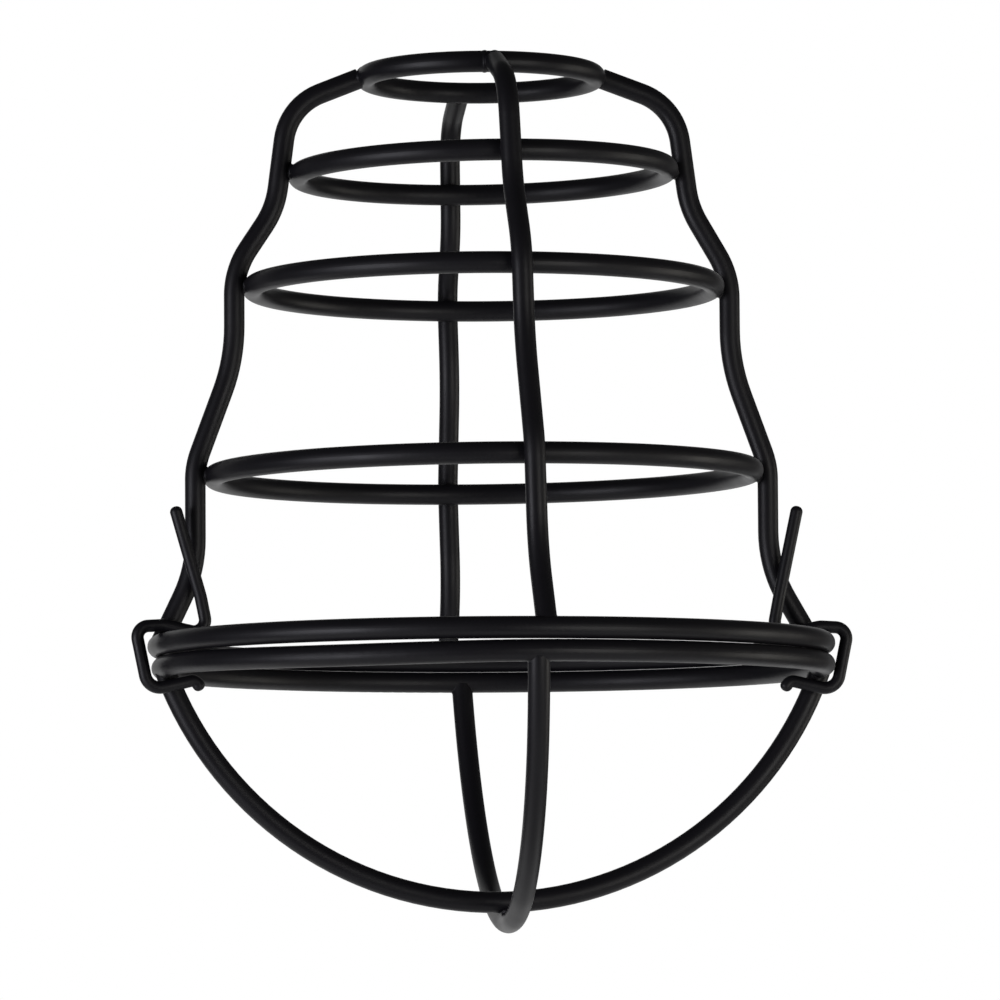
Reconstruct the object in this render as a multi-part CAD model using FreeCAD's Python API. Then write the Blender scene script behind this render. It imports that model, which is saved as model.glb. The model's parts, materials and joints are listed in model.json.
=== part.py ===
import FreeCAD, Part
import math
import os

V = FreeCAD.Vector
ORIGIN = V(0, 0, 0)
UP = V(0, 0, 1)

# Wire gauges, coating included.
RING_WIRE = 4.3
RIB_WIRE = 4.15
LATCH_WIRE = 2.5

# The neck ring goes over the barrel of an E27 lampholder.
NECK_HOLE = 42.0

# Centre lines of the other rings: radius, height from the neck ring, step sideways from it,
# and tilt, right side up, since the cage isn't quite true.
SHOULDER_R = 37.3
SHOULDER_Z = -19.4
SHOULDER_X = 0.4
SHOULDER_TILT = 0.8
MIDDLE_R = 46.5
MIDDLE_Z = -42.7
MIDDLE_X = 0.3
LOWER_R = 54.25
LOWER_Z = -80.5
LOWER_X = 0.1
LOWER_TILT = 0.4
RIM_R = 66.9
RIM_Z = -115.0
RIM_X = 1.5

# Welds: how far crossing wires are pressed together, and how far a cut end
# stops short of the centre of the wire that it is welded to, at the neck and at the rims.
WELD_SET = 0.2
NECK_INSET = 1.8
RIM_INSET = 0.8

# Ribs: each runs outside the rings and touches every one of them. The lengths
# say how far above and below a ring the straight run beside it reaches. The feet meet the
# rim a little inside its centre line. The front and back ribs lean a little.
RIB_START_RISE = 0.4
SHOULDER_LEAN = 7.5
SHOULDER_ABOVE = 13.6
SHOULDER_BELOW = 7.1
MIDDLE_ABOVE = 3.0
MIDDLE_BELOW = 15.0
LOWER_ABOVE = 1.8
LOWER_BELOW = 19.0
FOOT_IN = 0.4
FOOT_STEP = 0.4
RIB_BENDS = (14.0, 18.0, 17.0, 38.0, 16.0, 27.0)
RIB_LEAN = 1.5

# Basket: its rim is slightly smaller than the other, a little to the right of it, and hangs
# close under it, with a bent stretch at the front on the left that sags away from it.
BASKET_IN = 0.4
BASKET_STEP = 0.4
BASKET_GAP = 0.04
RIM_SAG = 0.5
SAG_AT = 234.0
SAG_REACH = 42.0
SAG_STEP = 6

# Depth of the upper hoop below the basket rim, how far the hoops sit off the middle of
# the rim and the upper one is spread, and how far the lower one is turned and leans.
HOOP_DEPTH = 47.2
SIDE_SHIFT = 0.3
SIDE_SPREAD = 0.3
CROSS_SHIFT = 1.0
CROSS_TURN = 2.0
CROSS_LEAN = 2.0

# Latches: play over the upper rim, outside and under the basket rim and beside the rib.
LATCH_SEAT = 0.3
LATCH_OUTER_PLAY = 0.45
LATCH_UNDER_PLAY = 0.8
LATCH_SIDE_PLAY = 0.5

# Slants of the four runs that go over, outside and under the rims, places of the levers'
# bends and ends and of the hook, and bend radii. The right lever is bent further in.
BASE_SLANT = 12.0
CORNER_SLANT = 3.0
OUTER_SLANT = 11.6
UNDER_SLANT = 13.0
LEVER_BASE_IN = 9.2
LEVER_KNEE = (-7.7, 9.4)
LEFT_TOP = (-2.5, 27.4)
RIGHT_TOP = (-4.6, 28.1)
RIGHT_BASE_IN = 0.9
HOOK_IN = 6.6
TIP_LENGTH = 2.4
TIP_DROP = 60.0
KNEE_BEND = 14.0
LEVER_BEND = 2.6
CORNER_BEND = 3.0
TIP_BEND = 1.6
LATCH_END_ROUND = 1.15

NECK_R = (NECK_HOLE + RING_WIRE) / 2
BASKET_R = RIM_R - BASKET_IN
BASKET_X = RIM_X + BASKET_STEP
BASKET_Z = RIM_Z - RING_WIRE - BASKET_GAP
RIB_OUT = (RING_WIRE + RIB_WIRE) / 2 - WELD_SET


def ring(radius, aside, height, tilt):
    slope = math.radians(tilt)
    facing = V(-math.sin(slope), 0, math.cos(slope))
    return Part.makeTorus(radius, RING_WIRE / 2, V(aside, 0, height), facing)


def sagging_ring(radius, aside, height):
    points = []
    for turn in range(0, 360, SAG_STEP):
        off = min(abs(turn - SAG_AT) / SAG_REACH, 1)
        drop = RIM_SAG * (1 + math.cos(math.pi * off)) / 2
        out = V(math.cos(math.radians(turn)), math.sin(math.radians(turn)), 0)
        points.append(out * radius + V(aside, 0, height - drop))
    curve = Part.BSplineCurve()
    curve.interpolate(points, PeriodicFlag=True)
    path = Part.Wire([curve.toShape()])
    heading = curve.tangent(curve.FirstParameter)[0]
    section = Part.Wire(Part.makeCircle(RING_WIRE / 2, points[0], heading))
    return path.makePipeShell([section], True, True)


def rounded_path(points, bends):
    edges = []
    last = points[0]
    for before, corner, after, bend in zip(points, points[1:], points[2:], bends):
        back = before - corner
        ahead = after - corner
        half = back.getAngle(ahead) / 2
        cut = min(bend / math.tan(half), 0.45 * back.Length, 0.45 * ahead.Length)
        radius = cut * math.tan(half)
        back.normalize()
        ahead.normalize()
        middle = back + ahead
        middle.normalize()
        start = corner + back * cut
        end = corner + ahead * cut
        top = corner + middle * (radius / math.sin(half) - radius)
        edges.append(Part.LineSegment(last, start).toShape())
        edges.append(Part.Arc(start, top, end).toShape())
        last = end
    edges.append(Part.LineSegment(last, points[-1]).toShape())
    return Part.Wire(edges)


def wire_along(path, gauge):
    first = path.Edges[0]
    start = first.valueAt(first.FirstParameter)
    heading = first.tangentAt(first.FirstParameter)
    section = Part.Face(Part.Wire(Part.makeCircle(gauge / 2, start, heading)))
    return path.makePipe(section)


def shortened(points, start_cut, end_cut):
    head = points[1] - points[0]
    tail = points[-2] - points[-1]
    head.normalize()
    tail.normalize()
    return [points[0] + head * start_cut] + points[1:-1] + [points[-1] + tail * end_cut]


def welded_to(piece, others):
    for other in others:
        piece = piece.cut(other)
    return max(piece.Solids, key=lambda solid: solid.Volume)


def hoop(half_span, depth):
    radius = (half_span ** 2 + depth ** 2) / (2 * depth)
    reach = math.acos((radius - depth) / radius) - RIM_INSET / radius
    side = radius * math.sin(reach)
    rise = radius * (1 - math.cos(reach)) - depth
    path = Part.Arc(V(-side, 0, rise), V(0, 0, -depth), V(side, 0, rise)).toShape()
    return wire_along(Part.Wire([path]), RING_WIRE)


# Rings.
neck_ring = ring(NECK_R, 0, 0, 0)
shoulder_ring = ring(SHOULDER_R, SHOULDER_X, SHOULDER_Z, SHOULDER_TILT)
middle_ring = ring(MIDDLE_R, MIDDLE_X, MIDDLE_Z, 0)
lower_ring = ring(LOWER_R, LOWER_X, LOWER_Z, LOWER_TILT)
upper_rim = ring(RIM_R, RIM_X, RIM_Z, 0)
basket_rim = sagging_ring(BASKET_R, BASKET_X, BASKET_Z)

# Ribs: one outline of distance from the axis, step sideways, height and tilt. The left and
# right ribs take the steps and tilts of the rings, the front and back ones run straight.
lean = math.tan(math.radians(SHOULDER_LEAN))
at_shoulder = SHOULDER_R + RIB_OUT
at_middle = MIDDLE_R + RIB_OUT
at_lower = LOWER_R + RIB_OUT
rib_outline = [
    (NECK_R, 0, RIB_START_RISE, SHOULDER_TILT),
    (at_shoulder - lean * SHOULDER_ABOVE, SHOULDER_X, SHOULDER_Z + SHOULDER_ABOVE, SHOULDER_TILT),
    (at_shoulder + lean * SHOULDER_BELOW, SHOULDER_X, SHOULDER_Z - SHOULDER_BELOW, SHOULDER_TILT),
    (at_middle, MIDDLE_X, MIDDLE_Z + MIDDLE_ABOVE, 0),
    (at_middle, MIDDLE_X, MIDDLE_Z - MIDDLE_BELOW, 0),
    (at_lower, LOWER_X, LOWER_Z + LOWER_ABOVE, LOWER_TILT),
    (at_lower, LOWER_X, LOWER_Z - LOWER_BELOW, LOWER_TILT),
    (RIM_R - FOOT_IN, RIM_X - FOOT_STEP, RIM_Z, 0),
]
RINGS = [neck_ring, shoulder_ring, middle_ring, lower_ring, upper_rim]


def rib(points):
    path = rounded_path(shortened(points, NECK_INSET, RIM_INSET), RIB_BENDS)
    return welded_to(wire_along(path, RIB_WIRE), RINGS)


def side_rib(side):
    points = []
    for out, aside, height, tilt in rib_outline:
        rise = side * out * math.tan(math.radians(tilt))
        points.append(V(aside + side * out, 0, height + rise))
    return rib(points)


def leaning_rib(side):
    slope = math.tan(math.radians(RIB_LEAN))
    points = []
    for out, _, height, _ in rib_outline:
        points.append(V(RIM_X / 2 + slope * (RIM_Z / 2 - height), side * out, height))
    return rib(points)


# Basket hoops.
side_hoop = hoop(BASKET_R + SIDE_SPREAD, HOOP_DEPTH)
side_hoop.translate(V(BASKET_X + SIDE_SHIFT, 0, BASKET_Z))
side_hoop = welded_to(side_hoop, [basket_rim])
cross_span = math.sqrt(BASKET_R ** 2 - CROSS_SHIFT ** 2)
cross_hoop = hoop(cross_span, HOOP_DEPTH + RING_WIRE - WELD_SET)
cross_hoop.rotate(ORIGIN, V(1, 0, 0), -CROSS_LEAN)
cross_hoop.translate(V(0, -CROSS_SHIFT, BASKET_Z))
cross_hoop.rotate(ORIGIN, UP, 90 - CROSS_TURN)
cross_hoop.translate(V(BASKET_X, 0, 0))
cross_hoop = welded_to(cross_hoop, [basket_rim, side_hoop])


def crossing(normal_a, reach_a, normal_b, reach_b):
    det = normal_a[0] * normal_b[1] - normal_a[1] * normal_b[0]
    out = (reach_a * normal_b[1] - reach_b * normal_a[1]) / det
    up = (normal_a[0] * reach_b - normal_b[0] * reach_a) / det
    return out, up


def leaning(degrees):
    return math.cos(math.radians(degrees)), math.sin(math.radians(degrees))


# One latch, drawn outwards and upwards from the centre of the upper rim's wire. Its runs
# are lines at a set reach from that centre or from the basket rim's, each given by the
# direction that it faces. It saddles the upper rim and passes outside and under the basket.
half_wires = (RING_WIRE + LATCH_WIRE) / 2
drop = RIM_Z - BASKET_Z
base_run = leaning(90 + BASE_SLANT)
corner_run = leaning(90 - CORNER_SLANT)
outer_run = leaning(-OUTER_SLANT)
under_run = leaning(-90 - UNDER_SLANT)
over_reach = half_wires + LATCH_SEAT
outer_reach = half_wires + LATCH_OUTER_PLAY - drop * outer_run[1]
under_reach = half_wires + LATCH_UNDER_PLAY - drop * under_run[1]
crest = crossing(base_run, over_reach, corner_run, over_reach)
top_corner = crossing(corner_run, over_reach, outer_run, outer_reach)
low_corner = crossing(outer_run, outer_reach, under_run, under_reach)
hook_end = (-HOOK_IN, (under_reach + under_run[0] * HOOK_IN) / under_run[1])
tip_run = leaning(180 + TIP_DROP)
tip = (hook_end[0] + TIP_LENGTH * tip_run[0], hook_end[1] + TIP_LENGTH * tip_run[1])
latch_bends = (KNEE_BEND, LEVER_BEND, over_reach, CORNER_BEND, CORNER_BEND, TIP_BEND)
latch_turn = math.degrees(math.asin(((RIB_WIRE + LATCH_WIRE) / 2 + LATCH_SIDE_PLAY) / at_lower))


def latch(azimuth, base_in, top):
    base_out = -LEVER_BASE_IN - base_in
    base = (base_out, (over_reach - base_run[0] * base_out) / base_run[1])
    knee = (LEVER_KNEE[0] - base_in, LEVER_KNEE[1])
    flat = [top, knee, base, crest, top_corner, low_corner, hook_end, tip]
    points = [V(RIM_R + out, 0, RIM_Z + up) for out, up in flat]
    wire = wire_along(rounded_path(points, latch_bends), LATCH_WIRE)
    ends = [edge for edge in wire.Edges
            if min(edge.CenterOfMass.distanceToPoint(points[0]),
                   edge.CenterOfMass.distanceToPoint(points[-1])) < 0.01]
    wire = wire.makeFillet(LATCH_END_ROUND, ends)
    wire.rotate(ORIGIN, UP, azimuth)
    wire.translate(V(RIM_X, 0, 0))
    return wire


pieces = {
    "neck_ring": neck_ring,
    "shoulder_ring": shoulder_ring,
    "middle_ring": middle_ring,
    "lower_ring": lower_ring,
    "upper_rim": upper_rim,
    "rib_right": side_rib(1),
    "rib_back": leaning_rib(1),
    "rib_left": side_rib(-1),
    "rib_front": leaning_rib(-1),
    "basket_rim": basket_rim,
    "side_hoop": side_hoop,
    "cross_hoop": cross_hoop,
    "latch_left": latch(180 + latch_turn, 0, LEFT_TOP),
    "latch_right": latch(-latch_turn, RIGHT_BASE_IN, RIGHT_TOP),
}
os.makedirs("parts", exist_ok=True)
for name, shape in pieces.items():
    shape.exportStep("parts/" + name + ".step")
    print(name, round(shape.Volume, 2), shape.isValid())
for side, azimuth in (("left", 180 + latch_turn), ("right", -latch_turn)):
    out = V(math.cos(math.radians(azimuth)), math.sin(math.radians(azimuth)), 0)
    print("latch", side, "hinge", out * RIM_R + V(RIM_X, 0, RIM_Z), "axis", out.cross(UP))
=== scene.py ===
import json
import math

import bmesh
import bpy
from mathutils import Matrix, Vector

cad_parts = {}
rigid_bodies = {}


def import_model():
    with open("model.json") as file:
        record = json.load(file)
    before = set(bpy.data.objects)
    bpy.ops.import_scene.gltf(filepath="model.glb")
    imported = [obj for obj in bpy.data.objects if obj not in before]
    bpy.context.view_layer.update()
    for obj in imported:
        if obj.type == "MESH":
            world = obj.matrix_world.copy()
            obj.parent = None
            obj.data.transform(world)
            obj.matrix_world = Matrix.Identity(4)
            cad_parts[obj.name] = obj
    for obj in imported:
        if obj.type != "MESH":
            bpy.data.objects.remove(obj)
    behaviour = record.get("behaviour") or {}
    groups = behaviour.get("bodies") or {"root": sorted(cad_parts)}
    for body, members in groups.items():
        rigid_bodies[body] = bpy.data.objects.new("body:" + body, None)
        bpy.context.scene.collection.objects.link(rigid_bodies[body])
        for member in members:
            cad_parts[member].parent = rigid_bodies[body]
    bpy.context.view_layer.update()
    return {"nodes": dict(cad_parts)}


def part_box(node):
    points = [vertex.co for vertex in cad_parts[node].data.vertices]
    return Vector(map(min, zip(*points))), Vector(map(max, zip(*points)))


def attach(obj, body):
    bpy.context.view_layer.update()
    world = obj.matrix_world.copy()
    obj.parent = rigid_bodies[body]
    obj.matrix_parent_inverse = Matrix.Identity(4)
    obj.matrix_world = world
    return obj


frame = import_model()

# Wire rings: five hoops of round steel wire, each closed by a butt weld. The whole cage
# is coated after welding with satin black powder, baked on, so its skin has a faint
# orange peel and a slightly uneven sheen.
MM = 0.001
RING_NODES = ("neck_ring", "shoulder_ring", "middle_ring", "lower_ring", "upper_rim")
COAT_BLACK = (0.0043, 0.0040, 0.0055, 1.0)
COAT_GREY = (0.0073, 0.0068, 0.0090, 1.0)
COAT_ROUGHNESS = (0.40, 0.50)
COAT_GLOSS = 0.24
PATCH_PER_METRE = 70.0
PATCH_DETAIL = 2.0
PEEL_PER_METRE = 950.0
PEEL_DETAIL = 1.0
PEEL_DEPTH = 0.012 * MM
GRAIN_PER_METRE = 5200.0
GRAIN_DETAIL = 2.0
GRAIN_DEPTH = 0.003 * MM
NOISE_LOW = 0.3
NOISE_HIGH = 0.7


def black_powder_coat(name):
    coat = bpy.data.materials.new(name)
    coat.use_nodes = True
    nodes = coat.node_tree.nodes
    links = coat.node_tree.links
    shader = nodes["Principled BSDF"]
    shader.inputs["Specular IOR Level"].default_value = COAT_GLOSS
    place = nodes.new("ShaderNodeTexCoord").outputs["Object"]

    def noise(per_metre, detail):
        texture = nodes.new("ShaderNodeTexNoise")
        texture.inputs["Scale"].default_value = per_metre
        texture.inputs["Detail"].default_value = detail
        links.new(place, texture.inputs["Vector"])
        return texture.outputs["Fac"]

    def spread(value, low, high):
        reach = nodes.new("ShaderNodeMapRange")
        reach.inputs["From Min"].default_value = NOISE_LOW
        reach.inputs["From Max"].default_value = NOISE_HIGH
        reach.inputs["To Min"].default_value = low
        reach.inputs["To Max"].default_value = high
        links.new(value, reach.inputs["Value"])
        return reach.outputs["Result"]

    patches = noise(PATCH_PER_METRE, PATCH_DETAIL)
    peel = noise(PEEL_PER_METRE, PEEL_DETAIL)
    grain = noise(GRAIN_PER_METRE, GRAIN_DETAIL)

    tint = nodes.new("ShaderNodeMix")
    tint.data_type = "RGBA"
    tint.inputs["A"].default_value = COAT_BLACK
    tint.inputs["B"].default_value = COAT_GREY
    links.new(spread(grain, 0.0, 1.0), tint.inputs["Factor"])
    links.new(tint.outputs["Result"], shader.inputs["Base Color"])
    links.new(spread(patches, *COAT_ROUGHNESS), shader.inputs["Roughness"])

    last = None
    for height, depth in ((peel, PEEL_DEPTH), (grain, GRAIN_DEPTH)):
        bump = nodes.new("ShaderNodeBump")
        bump.inputs["Strength"].default_value = 1.0
        bump.inputs["Distance"].default_value = depth
        links.new(height, bump.inputs["Height"])
        if last:
            links.new(last, bump.inputs["Normal"])
        last = bump.outputs["Normal"]
    links.new(last, shader.inputs["Normal"])
    return coat


def finish_nodes(names, coat):
    for name in names:
        for slot in frame["nodes"][name].material_slots:
            slot.material = coat


wire_coat = black_powder_coat("black_powder_coat")
finish_nodes(RING_NODES, wire_coat)

# Ribs: four lengths of slightly thinner wire, bent to the bell's outline, spot-welded
# outside every ring they pass, and butted against the neck ring and the rim.
RIB_NODES = ("rib_right", "rib_back", "rib_left", "rib_front")
finish_nodes(RIB_NODES, wire_coat)

# Basket: a rim with two bows of the same wire welded under it, one passing below the
# other. It hangs from the two latches and is coated with the rest.
BASKET_NODES = ("basket_rim", "side_hoop", "cross_hoop")
finish_nodes(BASKET_NODES, wire_coat)

# Welds: a small fillet of melted steel where two wires cross or a cut end meets a ring,
# and a low bead where the neck ring was closed. They are coated with the wires, and one
# node tree sets the right fillet on every joint.
CROSSING, RIB_END, HOOP_END, HOOPS, SEAM = range(5)
UP = Vector((0.0, 0.0, 1.0))
RING_HALF = (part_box("neck_ring")[1][2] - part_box("neck_ring")[0][2]) / 2
RIB_HALF = (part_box("rib_right")[1][1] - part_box("rib_right")[0][1]) / 2
PRESSED = 0.2 * MM
WELD_ROUND = 0.35 * MM
CROSSING_TIP = 0.02 * MM
END_ROUND_SHARE = 0.15
END_LEAST_RISE = 0.1 * MM
END_TIP_SHARE = 0.25
SEAM_WIDTH = 0.9 * MM
SEAM_HEIGHT = 0.13 * MM
SEAM_SUNK = 0.25
SEAM_AZIMUTH = 263.5
AROUND = 56
ACROSS = 5
RIB_WAYS = (Vector((1, 0, 0)), Vector((-1, 0, 0)), Vector((0, -1, 0)), Vector((0, 1, 0)))
RIB_LEAN = 1.5
SHOULDER_TILT = 0.8
SHOULDER_LEAN = 7.5
LOWER_TILT = 0.4
CROSSED_RINGS = (("shoulder_ring", SHOULDER_TILT, SHOULDER_LEAN),
                 ("middle_ring", 0.0, 0.0),
                 ("lower_ring", LOWER_TILT, 0.0))
NECK_RISE = 0.4 * MM
NECK_SLOPE = 20.7
FOOT_IN = 0.4 * MM
FOOT_LEAN = 28.0
HOOP_ENDS = ((0.0, 70.5), (180.0, 70.5), (87.1, 75.3), (268.9, 75.3))
HOOPS_CROSS_X = 4.7 * MM


def closed_weld(rows, start, end):
    shape = bmesh.new()
    loops = [[shape.verts.new(point) for point in row] for row in rows]
    for near, far in zip(loops, loops[1:]):
        for i in range(AROUND):
            shape.faces.new((near[i - 1], near[i], far[i], far[i - 1]))
    for loop, middle in ((loops[0], start), (loops[-1], end)):
        tip = shape.verts.new(middle)
        for i in range(AROUND):
            shape.faces.new((loop[i - 1], loop[i], tip))
    bmesh.ops.recalc_face_normals(shape, faces=shape.faces)
    for face in shape.faces:
        face.smooth = True
    mesh = bpy.data.meshes.new("weld_shape")
    shape.to_mesh(mesh)
    shape.free()
    return mesh


def fillet_rows(sections):
    # A section is a ball that rests on both wires: its centre and where it touches each.
    rows = [[] for _ in range(ACROSS + 1)]
    for centre, on_a, on_b in sections:
        to_a = on_a - centre
        to_b = on_b - centre
        for step, row in enumerate(rows):
            row.append(centre + to_a.slerp(to_b, step / ACROSS).normalized() * to_a.length)
    return rows


def crossing_weld(half_a, half_b):
    apart = half_a + half_b - PRESSED
    a = half_a + WELD_ROUND
    b = half_b + WELD_ROUND
    sections = []
    for i in range(AROUND):
        turn = math.tau * (i + 0.5) / AROUND
        z = (a + apart - b) / 2 + (a - apart + b) / 2 * math.cos(2 * turn)
        x = math.copysign(math.sqrt(max(b * b - (z - apart) ** 2, 0.0)), math.cos(turn))
        y = math.copysign(math.sqrt(max(a * a - z * z, 0.0)), math.sin(turn))
        on_a = Vector((x, y * half_a / a, z * half_a / a))
        on_b = Vector((x * half_b / b, y, apart + (z - apart) * half_b / b))
        sections.append((Vector((x, y, z)), on_a, on_b))
    contact = (half_a + apart - half_b) / 2
    start = (0, 0, contact - CROSSING_TIP)
    end = (0, 0, contact + CROSSING_TIP)
    return closed_weld(fillet_rows(sections), start, end)


def end_weld(half_a, half_b):
    sections = []
    for i in range(AROUND):
        turn = math.tau * (i + 0.5) / AROUND
        share = END_ROUND_SHARE + (1 - END_ROUND_SHARE) * math.cos(turn) ** 2
        a = half_a + WELD_ROUND * share
        b = half_b + WELD_ROUND * share
        x = b * math.cos(turn)
        y = b * math.sin(turn)
        z = math.sqrt(max(a * a - y * y, END_LEAST_RISE ** 2))
        on_a = Vector((x, y * half_a / a, z * half_a / a))
        on_b = Vector((half_b * math.cos(turn), half_b * math.sin(turn), z))
        sections.append((Vector((x, y, z)), on_a, on_b))
    end = (0, 0, half_a + half_b * END_TIP_SHARE)
    return closed_weld(fillet_rows(sections), (0, 0, 0), end)


def seam_weld():
    half_width = SEAM_WIDTH / 2
    rows = []
    for step in range(2 * ACROSS + 1):
        swell = math.pi * step / (2 * ACROSS)
        x = -half_width * math.cos(swell)
        reach = RING_HALF + SEAM_HEIGHT * ((1 + SEAM_SUNK) * math.sin(swell) - SEAM_SUNK)
        row = []
        for i in range(AROUND):
            turn = math.tau * i / AROUND
            row.append(Vector((x, reach * math.cos(turn), reach * math.sin(turn))))
        rows.append(row)
    return closed_weld(rows, (-half_width, 0, 0), (half_width, 0, 0))


def ring_line(name):
    low, high = (Vector(corner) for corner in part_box(name))
    return (low + high) / 2, (high.y - low.y) / 2 - RING_HALF


def rib_meets(centre, radius, way):
    if way.x:
        return centre + way * radius
    rim = ring_line("upper_rim")[0]
    step = rim.x / 2 + math.tan(math.radians(RIB_LEAN)) * (rim.z / 2 - centre.z) - centre.x
    return centre + Vector((step, way.y * math.sqrt(radius ** 2 - step ** 2), 0))


def level_frame(centre, place):
    out = Vector((place.x - centre.x, place.y - centre.y, 0)).normalized()
    return out, UP.cross(out)


def outward(azimuth):
    turn = math.radians(azimuth)
    return Vector((math.cos(turn), math.sin(turn), 0))


def raised(out, degrees):
    turn = math.radians(degrees)
    return out * math.cos(turn) + UP * math.sin(turn)


weld_spots = []


def set_weld(kind, place, along, away):
    side = away.cross(along).normalized()
    spin = Matrix((along, side, away.normalized())).transposed().to_euler()
    weld_spots.append((kind, place, spin))


for name, tilt, lean in CROSSED_RINGS:
    centre, radius = ring_line(name)
    for way in RIB_WAYS:
        place = rib_meets(centre, radius, way)
        out, along = level_frame(centre, place)
        place.z += (place.x - centre.x) * math.tan(math.radians(tilt))
        set_weld(CROSSING, place, along, raised(out, lean))

neck_centre, neck_radius = ring_line("neck_ring")
for way in RIB_WAYS:
    place = rib_meets(neck_centre, neck_radius, way)
    out, along = level_frame(neck_centre, place)
    place.z += NECK_RISE + place.x * math.tan(math.radians(SHOULDER_TILT))
    set_weld(RIB_END, place, along, raised(out, -NECK_SLOPE))

rim_centre, rim_radius = ring_line("upper_rim")
foot_centre = rim_centre - Vector((FOOT_IN, 0, 0))
for way in RIB_WAYS:
    place = rib_meets(foot_centre, rim_radius - FOOT_IN, way)
    out, along = level_frame(rim_centre, place)
    set_weld(RIB_END, place, along, raised(out, 90 + FOOT_LEAN))

basket_centre, basket_radius = ring_line("basket_rim")
basket_centre.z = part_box("basket_rim")[1][2] - RING_HALF
for azimuth, steepness in HOOP_ENDS:
    out = outward(azimuth)
    place = basket_centre + out * basket_radius
    set_weld(HOOP_END, place, UP.cross(out), raised(-out, -steepness))
hoop_low = Vector((HOOPS_CROSS_X, 0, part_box("side_hoop")[0][2] + RING_HALF))
set_weld(HOOPS, hoop_low, Vector((1, 0, 0)), -UP)

out = outward(SEAM_AZIMUTH)
set_weld(SEAM, neck_centre + out * neck_radius, UP.cross(out), out)

weld_shapes = {
    CROSSING: crossing_weld(RING_HALF, RIB_HALF),
    RIB_END: end_weld(RING_HALF, RIB_HALF),
    HOOP_END: end_weld(RING_HALF, RING_HALF),
    HOOPS: crossing_weld(RING_HALF, RING_HALF),
    SEAM: seam_weld(),
}
weld_kinds = bpy.data.collections.new("weld_kinds")
bpy.context.scene.collection.children.link(weld_kinds)
for kind, mesh in weld_shapes.items():
    weld_kinds.objects.link(bpy.data.objects.new(f"weld_{kind}", mesh))

weld_tree = bpy.data.node_groups.new("weld_set", "GeometryNodeTree")
sockets = weld_tree.interface
sockets.new_socket("Geometry", in_out="INPUT", socket_type="NodeSocketGeometry")
kinds_socket = sockets.new_socket("Kinds", in_out="INPUT", socket_type="NodeSocketCollection")
coat_socket = sockets.new_socket("Coat", in_out="INPUT", socket_type="NodeSocketMaterial")
sockets.new_socket("Geometry", in_out="OUTPUT", socket_type="NodeSocketGeometry")


def spot_value(name, data_type):
    node = weld_tree.nodes.new("GeometryNodeInputNamedAttribute")
    node.data_type = data_type
    node.inputs["Name"].default_value = name
    return node.outputs["Attribute"]


given = weld_tree.nodes.new("NodeGroupInput").outputs
result = weld_tree.nodes.new("NodeGroupOutput").inputs
kinds = weld_tree.nodes.new("GeometryNodeCollectionInfo")
kinds.inputs["Separate Children"].default_value = True
kinds.inputs["Reset Children"].default_value = True
turned = weld_tree.nodes.new("FunctionNodeEulerToRotation")
setting = weld_tree.nodes.new("GeometryNodeInstanceOnPoints")
setting.inputs["Pick Instance"].default_value = True
solid = weld_tree.nodes.new("GeometryNodeRealizeInstances")
coated = weld_tree.nodes.new("GeometryNodeSetMaterial")
for source, target in ((given["Geometry"], setting.inputs["Points"]),
                       (given["Kinds"], kinds.inputs["Collection"]),
                       (kinds.outputs["Instances"], setting.inputs["Instance"]),
                       (spot_value("kind", "INT"), setting.inputs["Instance Index"]),
                       (spot_value("spin", "FLOAT_VECTOR"), turned.inputs["Euler"]),
                       (turned.outputs["Rotation"], setting.inputs["Rotation"]),
                       (setting.outputs["Instances"], solid.inputs["Geometry"]),
                       (solid.outputs["Geometry"], coated.inputs["Geometry"]),
                       (given["Coat"], coated.inputs["Material"]),
                       (coated.outputs["Geometry"], result["Geometry"])):
    weld_tree.links.new(source, target)

spots = bpy.data.meshes.new("weld_spots")
spots.from_pydata([place for _, place, _ in weld_spots], [], [])
spots.attributes.new("kind", "INT", "POINT")
spots.attributes.new("spin", "FLOAT_VECTOR", "POINT")
for index, (kind, _, spin) in enumerate(weld_spots):
    spots.attributes["kind"].data[index].value = kind
    spots.attributes["spin"].data[index].vector = spin
spot_holder = bpy.data.objects.new("weld_spots", spots)
bpy.context.scene.collection.objects.link(spot_holder)
setter = spot_holder.modifiers.new("weld_set", "NODES")
setter.node_group = weld_tree
setter[kinds_socket.identifier] = weld_kinds
setter[coat_socket.identifier] = wire_coat
all_set = spot_holder.evaluated_get(bpy.context.evaluated_depsgraph_get())
weld_mesh = bpy.data.meshes.new_from_object(all_set)
weld_mesh.name = "weld_fillets"
for leftover in [spot_holder, *weld_kinds.objects]:
    bpy.data.objects.remove(leftover)
bpy.data.collections.remove(weld_kinds)
welds = bpy.data.objects.new("weld_fillets", weld_mesh)
bpy.context.scene.collection.objects.link(welds)
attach(welds, "cage")

# Latches: thin spring wire, bent cold, each turning on the upper rim and hooked under
# the basket rim. They are coated before they are snapped on.
LATCH_NODES = ("latch_left", "latch_right")
latch_coat = black_powder_coat("latch_powder_coat")
finish_nodes(LATCH_NODES, latch_coat)

# Studio: a white sweep, the floor well below the hanging cage and a wall behind it. It
# is white to the eye and in reflections, apart from the floor right under the cage, which
# glows less: painted shade there, a little duller in view and in reflections around the
# real shadow the floor keeps, fading to white further out.
FLOOR_Z = -1.3
SWEEP_FRONT = -1.1
SWEEP_BACK = 3.2
SWEEP_ROUND = 1.6
SWEEP_HEIGHT = 3.0
SWEEP_HALF_WIDTH = 1.4
ROUND_STEPS = 16
SWEEP_WHITE = (0.86, 0.86, 0.86, 1.0)
FLOOR_SHARE = 0.3
WALL_SHARE = 1.0
FADE_FROM = 0.2
FADE_TO = 1.1
FLOOR_PAINT, WALL_PAINT = range(2)


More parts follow.
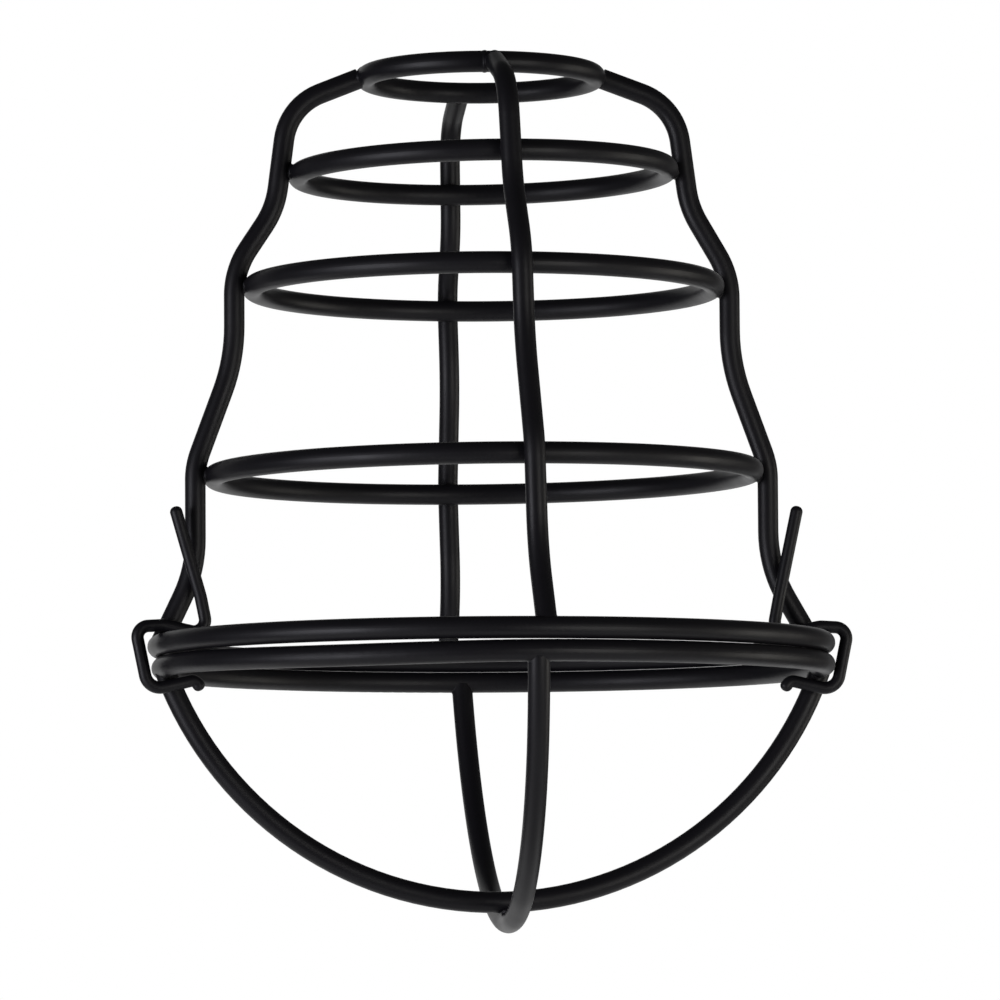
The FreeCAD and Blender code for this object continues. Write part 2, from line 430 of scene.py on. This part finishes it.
def combine(tree, operation, first, second):
    node = tree.nodes.new("ShaderNodeMath")
    node.operation = operation
    tree.links.new(first, node.inputs[0])
    tree.links.new(second, node.inputs[1])
    return node.outputs["Value"]


def white_sweep_paint(name, share_below):
    paint = bpy.data.materials.new(name)
    paint.use_nodes = True
    tree = paint.node_tree
    nodes = tree.nodes
    links = tree.links
    nodes.clear()
    matt = nodes.new("ShaderNodeBsdfDiffuse")
    matt.inputs["Color"].default_value = SWEEP_WHITE
    white = nodes.new("ShaderNodeEmission")
    rays = nodes.new("ShaderNodeLightPath").outputs
    mirrored = combine(tree, "MAXIMUM", rays["Is Glossy Ray"], rays["Is Transmission Ray"])
    seen = combine(tree, "MAXIMUM", rays["Is Camera Ray"], mirrored)
    away = nodes.new("ShaderNodeVectorMath")
    away.operation = "DISTANCE"
    away.inputs[1].default_value = (0.0, 0.0, FLOOR_Z)
    links.new(nodes.new("ShaderNodeTexCoord").outputs["Object"], away.inputs[0])
    # Painted shade: the floor's white glow is lowered near the spot under the cage and rises
    # to full white further out.
    fade = nodes.new("ShaderNodeMapRange")
    fade.inputs["From Min"].default_value = FADE_FROM
    fade.inputs["From Max"].default_value = FADE_TO
    fade.inputs["To Min"].default_value = share_below
    links.new(away.outputs["Value"], fade.inputs["Value"])
    mix = nodes.new("ShaderNodeMixShader")
    links.new(combine(tree, "MULTIPLY", seen, fade.outputs["Result"]), mix.inputs["Fac"])
    links.new(matt.outputs["BSDF"], mix.inputs[1])
    links.new(white.outputs["Emission"], mix.inputs[2])
    surface = nodes.new("ShaderNodeOutputMaterial").inputs["Surface"]
    links.new(mix.outputs["Shader"], surface)
    return paint


round_from = SWEEP_BACK - SWEEP_ROUND
profile = [(SWEEP_FRONT, FLOOR_Z), (round_from, FLOOR_Z)]
for step in range(1, ROUND_STEPS + 1):
    turn = math.pi / 2 * step / ROUND_STEPS
    rise = SWEEP_ROUND * (1 - math.cos(turn))
    profile.append((round_from + SWEEP_ROUND * math.sin(turn), FLOOR_Z + rise))
profile.append((SWEEP_BACK, FLOOR_Z + SWEEP_HEIGHT))
points = [(side * SWEEP_HALF_WIDTH, y, z) for y, z in profile for side in (-1, 1)]
strips = [(2 * i, 2 * i + 1, 2 * i + 3, 2 * i + 2) for i in range(len(profile) - 1)]
sweep_mesh = bpy.data.meshes.new("white_sweep")
sweep_mesh.from_pydata(points, [], strips)
sweep_mesh.materials.append(white_sweep_paint("sweep_floor", FLOOR_SHARE))
sweep_mesh.materials.append(white_sweep_paint("sweep_wall", WALL_SHARE))
for strip in sweep_mesh.polygons:
    strip.material_index = WALL_PAINT if strip.index else FLOOR_PAINT
sweep = bpy.data.objects.new("white_sweep", sweep_mesh)
bpy.context.scene.collection.objects.link(sweep)

# Light: three soft boxes in a dim room, placed by their turn from the camera's line: a
# cool one to the left, a weaker one nearer on the right, and a warm one at the right
# side. The room is white to the eye, and behind the cage in reflections too.
ROOM_WHITE = (1.0, 1.0, 1.0, 1.0)
ROOM_LEVEL = 0.06
BEHIND_FROM = 0.8
BEHIND_FULL = 1.0
CAGE_TURN = 8.58
CAGE_MIDDLE = Vector((0.0, 0.0, -0.09))
BOX_AWAY = 1.15
BOX_WIDTH = 0.5
BOX_HEIGHT = 0.7
BOX_Z = -0.27
SOFT_BOXES = (("soft_box_left", -55.0, 8.6, (0.92, 0.92, 1.0)),
              ("soft_box_right", 36.0, 4.7, (1.0, 0.98, 0.95)),
              ("soft_box_side", 100.0, 3.2, (1.0, 0.97, 0.9)))

world = bpy.data.worlds.new("white_room")
bpy.context.scene.world = world
world.use_nodes = True
room_tree = world.node_tree
room = room_tree.nodes["Background"]
room.inputs["Color"].default_value = ROOM_WHITE
room.inputs["Strength"].default_value = ROOM_LEVEL
seen_white = room_tree.nodes.new("ShaderNodeBackground")
seen_white.inputs["Color"].default_value = ROOM_WHITE
rays = room_tree.nodes.new("ShaderNodeLightPath").outputs
way_out = room_tree.nodes.new("ShaderNodeTexCoord").outputs["Generated"]
facing = room_tree.nodes.new("ShaderNodeSeparateXYZ")
room_tree.links.new(way_out, facing.inputs["Vector"])
behind = room_tree.nodes.new("ShaderNodeMapRange")
behind.inputs["From Min"].default_value = BEHIND_FROM
behind.inputs["From Max"].default_value = BEHIND_FULL
room_tree.links.new(facing.outputs["Y"], behind.inputs["Value"])
mirrored = combine(room_tree, "MAXIMUM", rays["Is Glossy Ray"], rays["Is Transmission Ray"])
mirrored_white = combine(room_tree, "MULTIPLY", mirrored, behind.outputs["Result"])
share = combine(room_tree, "MAXIMUM", rays["Is Camera Ray"], mirrored_white)
pick = room_tree.nodes.new("ShaderNodeMixShader")
room_tree.links.new(share, pick.inputs["Fac"])
room_tree.links.new(room.outputs["Background"], pick.inputs[1])
room_tree.links.new(seen_white.outputs["Background"], pick.inputs[2])
room_tree.links.new(pick.outputs["Shader"], room_tree.nodes["World Output"].inputs["Surface"])

for name, box_turn, power, colour in SOFT_BOXES:
    lamp = bpy.data.lights.new(name, "AREA")
    lamp.shape = "RECTANGLE"
    lamp.size = BOX_WIDTH
    lamp.size_y = BOX_HEIGHT
    lamp.energy = power
    lamp.color = colour
    box = bpy.data.objects.new(name, lamp)
    turn = math.radians(box_turn - CAGE_TURN)
    box.location = (BOX_AWAY * math.sin(turn), -BOX_AWAY * math.cos(turn), BOX_Z)
    aim = CAGE_MIDDLE - box.location
    box.rotation_mode = "QUATERNION"
    box.rotation_quaternion = aim.to_track_quat("-Z", "Y")
    bpy.context.scene.collection.objects.link(box)

# Camera: a long lens about 1.3 m in front of the cage and a little to its left, level
# with the cage's lowest point and looking slightly up at it.
CAMERA_AT = (-0.19576, -1.29746, -0.18381)
CAMERA_PAN = -8.729
CAMERA_TILT = 4.276
CAMERA_ROLL = -0.371
LENS = 235.34
SENSOR_WIDTH = 36.0
VIEW_FAR = 100.0

camera_data = bpy.data.cameras.new("camera")
camera_data.lens = LENS
camera_data.sensor_width = SENSOR_WIDTH
camera_data.clip_end = VIEW_FAR
camera = bpy.data.objects.new("camera", camera_data)
pan = Matrix.Rotation(math.radians(CAMERA_PAN), 4, "Z")
tilt = Matrix.Rotation(math.radians(90 + CAMERA_TILT), 4, "X")
roll = Matrix.Rotation(math.radians(CAMERA_ROLL), 4, "Z")
camera.matrix_world = Matrix.Translation(CAMERA_AT) @ pan @ tilt @ roll
bpy.context.scene.collection.objects.link(camera)
bpy.context.scene.camera = camera
bpy.context.scene.view_settings.view_transform = "Standard"
